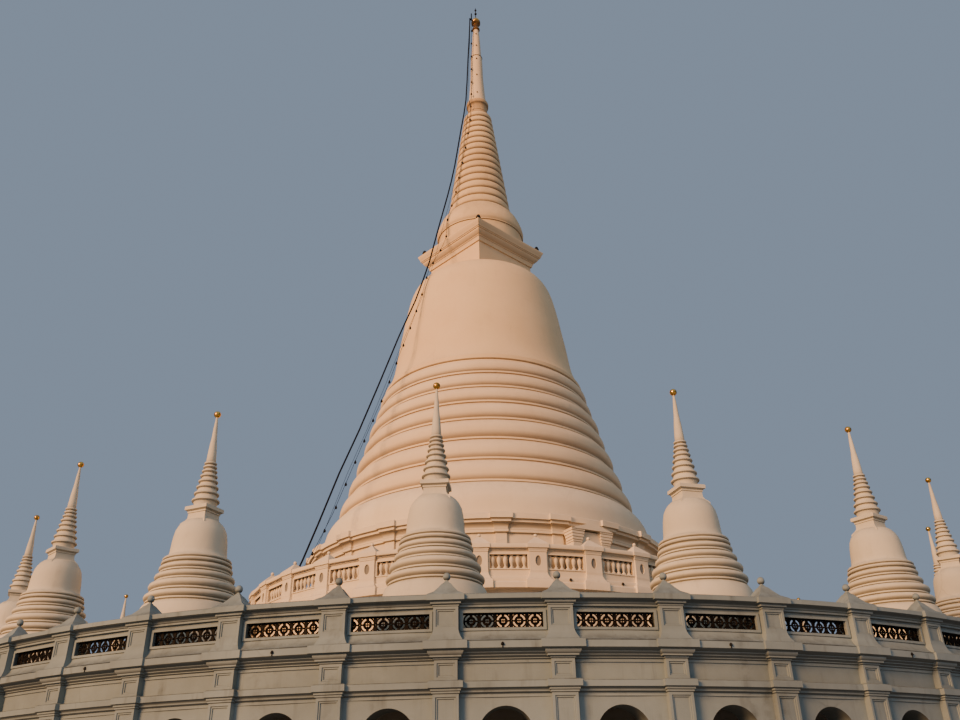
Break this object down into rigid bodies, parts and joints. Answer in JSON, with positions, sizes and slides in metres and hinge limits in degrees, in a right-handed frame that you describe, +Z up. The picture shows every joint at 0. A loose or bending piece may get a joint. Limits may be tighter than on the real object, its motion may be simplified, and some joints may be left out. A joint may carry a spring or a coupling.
{
  "type": "bell-shaped stupa, 1:2 scale model",
  "caption": "Bell-shaped stupa on round terraces: arcaded base, parapet with small stupas, balustrade, stepped round courses, bell, square throne and ringed spire.",
  "frame": {"origin": "centre of the round base on the ground, on the axis of the building", "axes": "+Z up along the axis, -Y towards the viewer of the picture"},
  "size_m": [27.0468, 27.0254, 31],
  "materials": {
    "lower_lime_plaster": "weathered white lime plaster",
    "upper_lime_plaster": "white lime plaster",
    "small_stupa_plaster": "weathered white lime plaster",
    "floor_stone": "worn stone paving",
    "gilding": "gilded, polished",
    "painted_iron": "black painted cast iron",
    "cable_sheath": "black sheathed cable"
  },
  "bodies": {
    "root": {"balustrade_1": "upper_lime_plaster", "balustrade_2": "upper_lime_plaster", "balustrade_3": "upper_lime_plaster", "balustrade_4": "upper_lime_plaster", "balustrade_5": "upper_lime_plaster", "balustrade_6": "upper_lime_plaster", "balustrade_7": "upper_lime_plaster", "balustrade_8": "upper_lime_plaster", "bell": "upper_lime_plaster", "cable_arm": "painted_iron", "core_drum": "lower_lime_plaster", "first_terrace": "lower_lime_plaster", "gallery_floor": "floor_stone", "gilded_knob": "gilding", "lamp_string": "cable_sheath", "outer_wall_1": "lower_lime_plaster", "outer_wall_2": "lower_lime_plaster", "outer_wall_3": "lower_lime_plaster", "outer_wall_4": "lower_lime_plaster", "outer_wall_5": "lower_lime_plaster", "outer_wall_6": "lower_lime_plaster", "parapet_1": "lower_lime_plaster", "parapet_2": "lower_lime_plaster", "parapet_3": "lower_lime_plaster", "parapet_4": "lower_lime_plaster", "parapet_5": "lower_lime_plaster", "parapet_6": "lower_lime_plaster", "plain_spire": "upper_lime_plaster", "porch_1": "upper_lime_plaster", "porch_2": "upper_lime_plaster", "ring_courses": "upper_lime_plaster", "ringed_spire": "upper_lime_plaster", "second_drum": "upper_lime_plaster", "second_terrace": "upper_lime_plaster", "skirt": "upper_lime_plaster", "small_stupa_1": "small_stupa_plaster", "small_stupa_10": "small_stupa_plaster", "small_stupa_11": "small_stupa_plaster", "small_stupa_12": "small_stupa_plaster", "small_stupa_13": "small_stupa_plaster", "small_stupa_14": "small_stupa_plaster", "small_stupa_15": "small_stupa_plaster", "small_stupa_16": "small_stupa_plaster", "small_stupa_17": "small_stupa_plaster", "small_stupa_18": "small_stupa_plaster", "small_stupa_2": "small_stupa_plaster", "small_stupa_3": "small_stupa_plaster", "small_stupa_4": "small_stupa_plaster", "small_stupa_5": "small_stupa_plaster", "small_stupa_6": "small_stupa_plaster", "small_stupa_7": "small_stupa_plaster", "small_stupa_8": "small_stupa_plaster", "small_stupa_9": "small_stupa_plaster", "spire_seat": "upper_lime_plaster", "stay_cable": "cable_sheath", "third_cornice": "upper_lime_plaster", "third_drum": "upper_lime_plaster", "throne": "upper_lime_plaster"}
  },
  "joints": []
}
